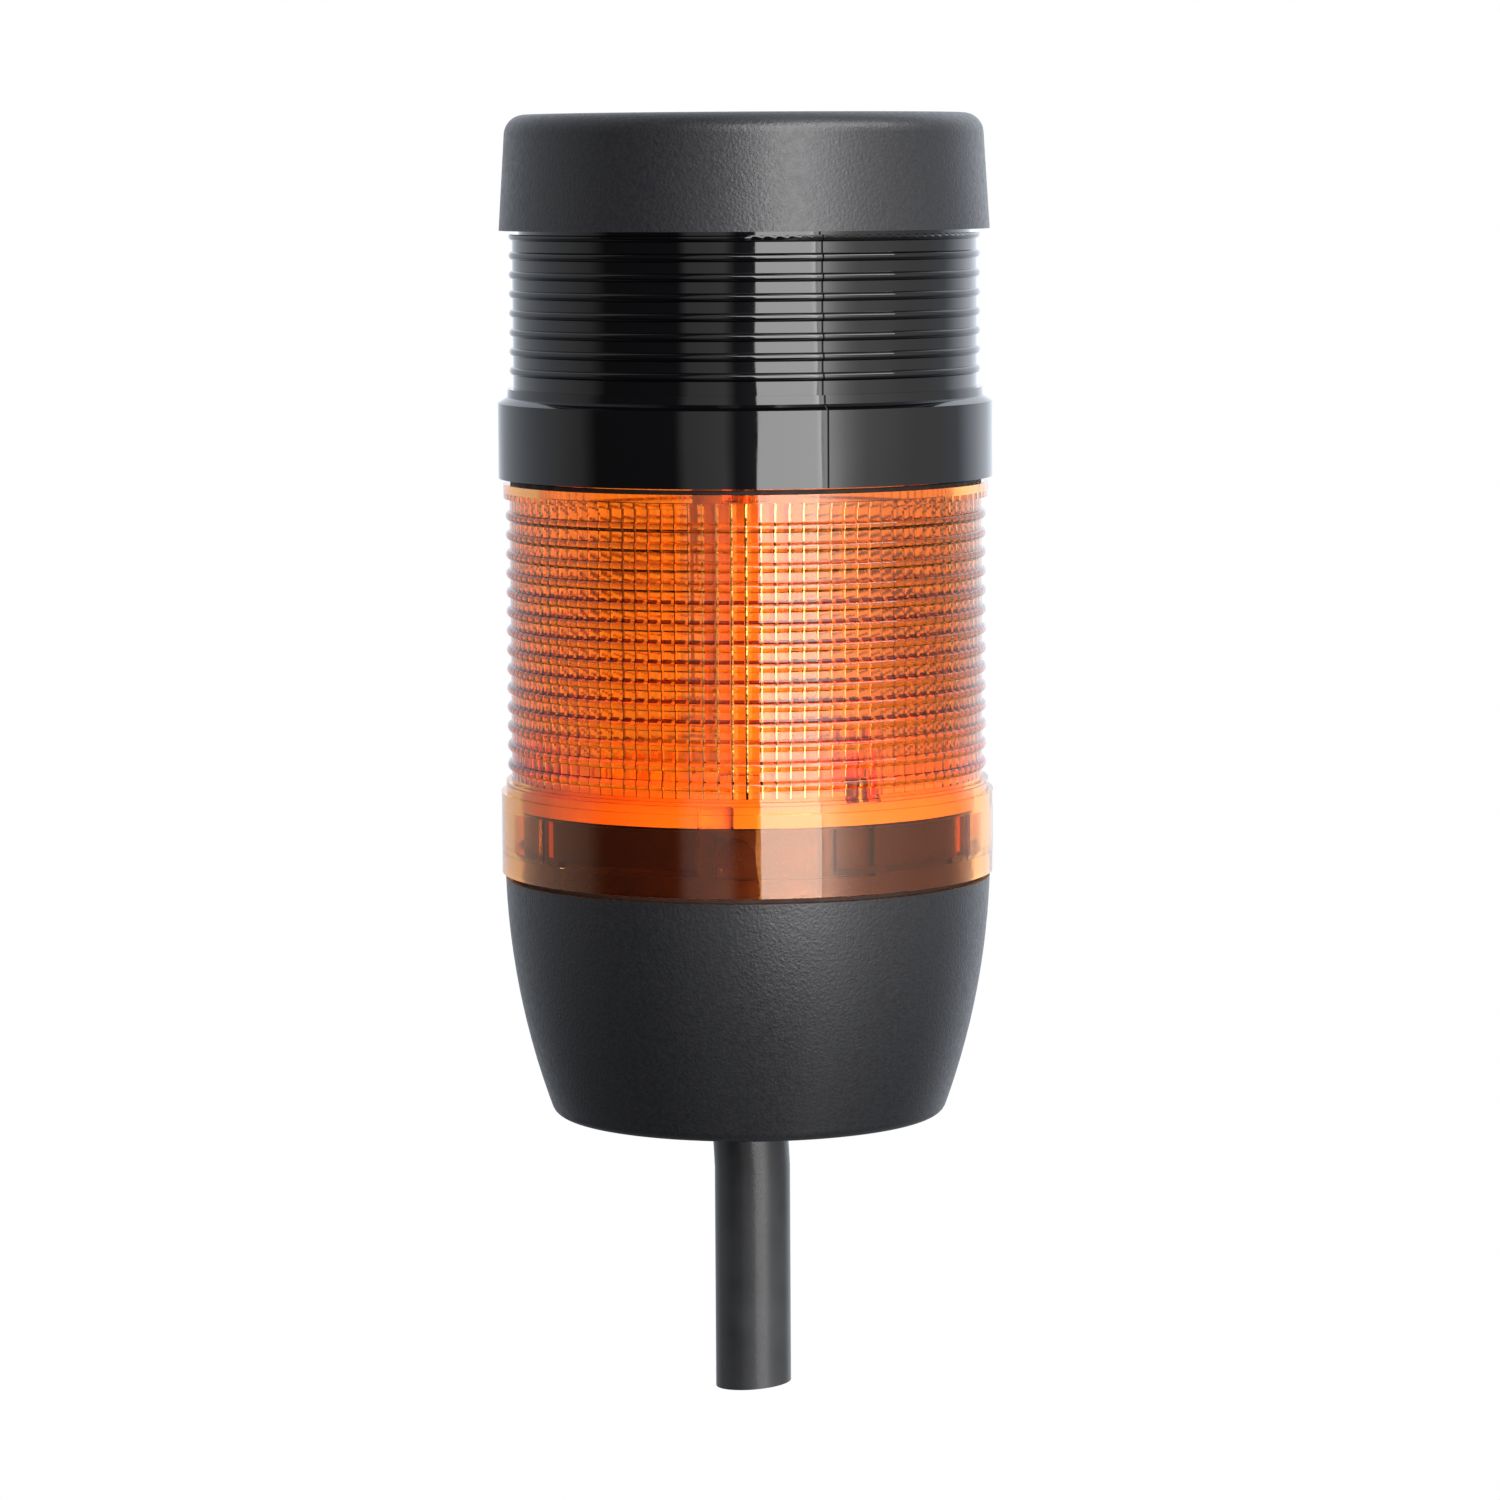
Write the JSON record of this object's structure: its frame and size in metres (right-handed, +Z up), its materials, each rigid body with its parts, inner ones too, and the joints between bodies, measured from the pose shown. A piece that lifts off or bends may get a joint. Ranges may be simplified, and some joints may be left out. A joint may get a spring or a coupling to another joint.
{
  "type": "signal tower light",
  "caption": "Stacked signal tower: bowl-shaped base with a cable out of its underside, ribbed amber light module, ribbed black sounder module and a flared cap, each on a twist bayonet.",
  "frame": {"origin": "centre of the base's flat underside, on the tower's axis, where it stands on the surface it is screwed to", "axes": "+Z up the tower's axis, the cable leaves along -Z, the side with the front bayonet pin faces -Y"},
  "size_m": [0.07, 0.07, 0.182],
  "materials": {
    "shell_matt": "fine grained, matt",
    "shell_gloss": "polished",
    "amber": "clear amber moulding, fluted inside",
    "rubber_black": "smooth",
    "cable_black": "satin jacket",
    "core_brown": "wire insulation",
    "core_blue": "wire insulation",
    "core_black": "wire insulation",
    "core_grey": "wire insulation",
    "core_earth": "wire insulation, green and yellow",
    "plastic_black": "moulded",
    "plastic_white": "moulded",
    "plastic_green": "moulded",
    "board_white": "white solder mask",
    "board_green": "green solder mask",
    "led_body": "LED package",
    "brass": "stamped strip",
    "steel": "zinc plated",
    "trimmer_blue": "moulded",
    "rotor_white": "moulded",
    "switch_red": "moulded"
  },
  "bodies": {
    "base": {"base_housing": "shell_matt", "base_gasket": "rubber_black", "cable_grommet": "rubber_black", "cable_jacket": "cable_black", "core_brown": "core_brown", "core_blue": "core_blue", "core_black": "core_black", "core_grey": "core_grey", "core_earth": "core_earth", "strain_clamp": "plastic_black", "strain_clamp_screws": "steel", "terminal_block": "plastic_green", "terminal_screws": "brass", "base_contact_plate": "plastic_black", "base_contacts": "brass", "base_plate_screws": "steel", "base_rim_seal": "rubber_black"},
    "light_module": {"light_lens": "amber", "light_carrier": "plastic_white", "light_carrier_screws": "steel", "light_fingers": "brass", "led_board": "board_white", "leds": "led_body", "light_reflector": "plastic_white", "light_bus_bars": "brass", "light_contact_plate": "plastic_black", "light_contacts": "brass", "light_plate_screws": "steel", "light_rim_seal": "rubber_black"},
    "sounder_module": {"sounder_housing": "shell_gloss", "sounder_board": "board_green", "sounder_board_screws": "steel", "sounder_fingers": "brass", "sounder_can": "plastic_black", "sounder_diaphragm": "brass", "sounder_components": "plastic_black", "volume_trimmer": "trimmer_blue", "tone_switch": "switch_red"},
    "volume_rotor": {"volume_rotor": "rotor_white"},
    "tone_slider_a": {"tone_slider_a": "rotor_white"},
    "tone_slider_b": {"tone_slider_b": "rotor_white"},
    "cap": {"cap_shell": "shell_matt"}
  },
  "joints": [
    {"name": "light_twist", "type": "hinge", "parent": "base", "child": "light_module", "pos_m": [0, 0, 0.035], "axis": [0, 0, 1], "range_deg": [0, 30]},
    {"name": "sounder_twist", "type": "hinge", "parent": "light_module", "child": "sounder_module", "pos_m": [0, 0, 0.091], "axis": [0, 0, 1], "range_deg": [0, 30]},
    {"name": "cap_twist", "type": "hinge", "parent": "sounder_module", "child": "cap", "pos_m": [0, 0, 0.1258], "axis": [0, 0, 1], "range_deg": [0, 30]},
    {"name": "volume_turn", "type": "hinge", "parent": "sounder_module", "child": "volume_rotor", "pos_m": [-0.009, -0.019, 0.1075], "axis": [0, 0, 1], "range_deg": [-135, 135]},
    {"name": "tone_slide_a", "type": "slide", "parent": "sounder_module", "child": "tone_slider_a", "axis": [0, 1, 0], "range_m": [0, 0.002]},
    {"name": "tone_slide_b", "type": "slide", "parent": "sounder_module", "child": "tone_slider_b", "axis": [0, 1, 0], "range_m": [0, 0.002]}
  ]
}
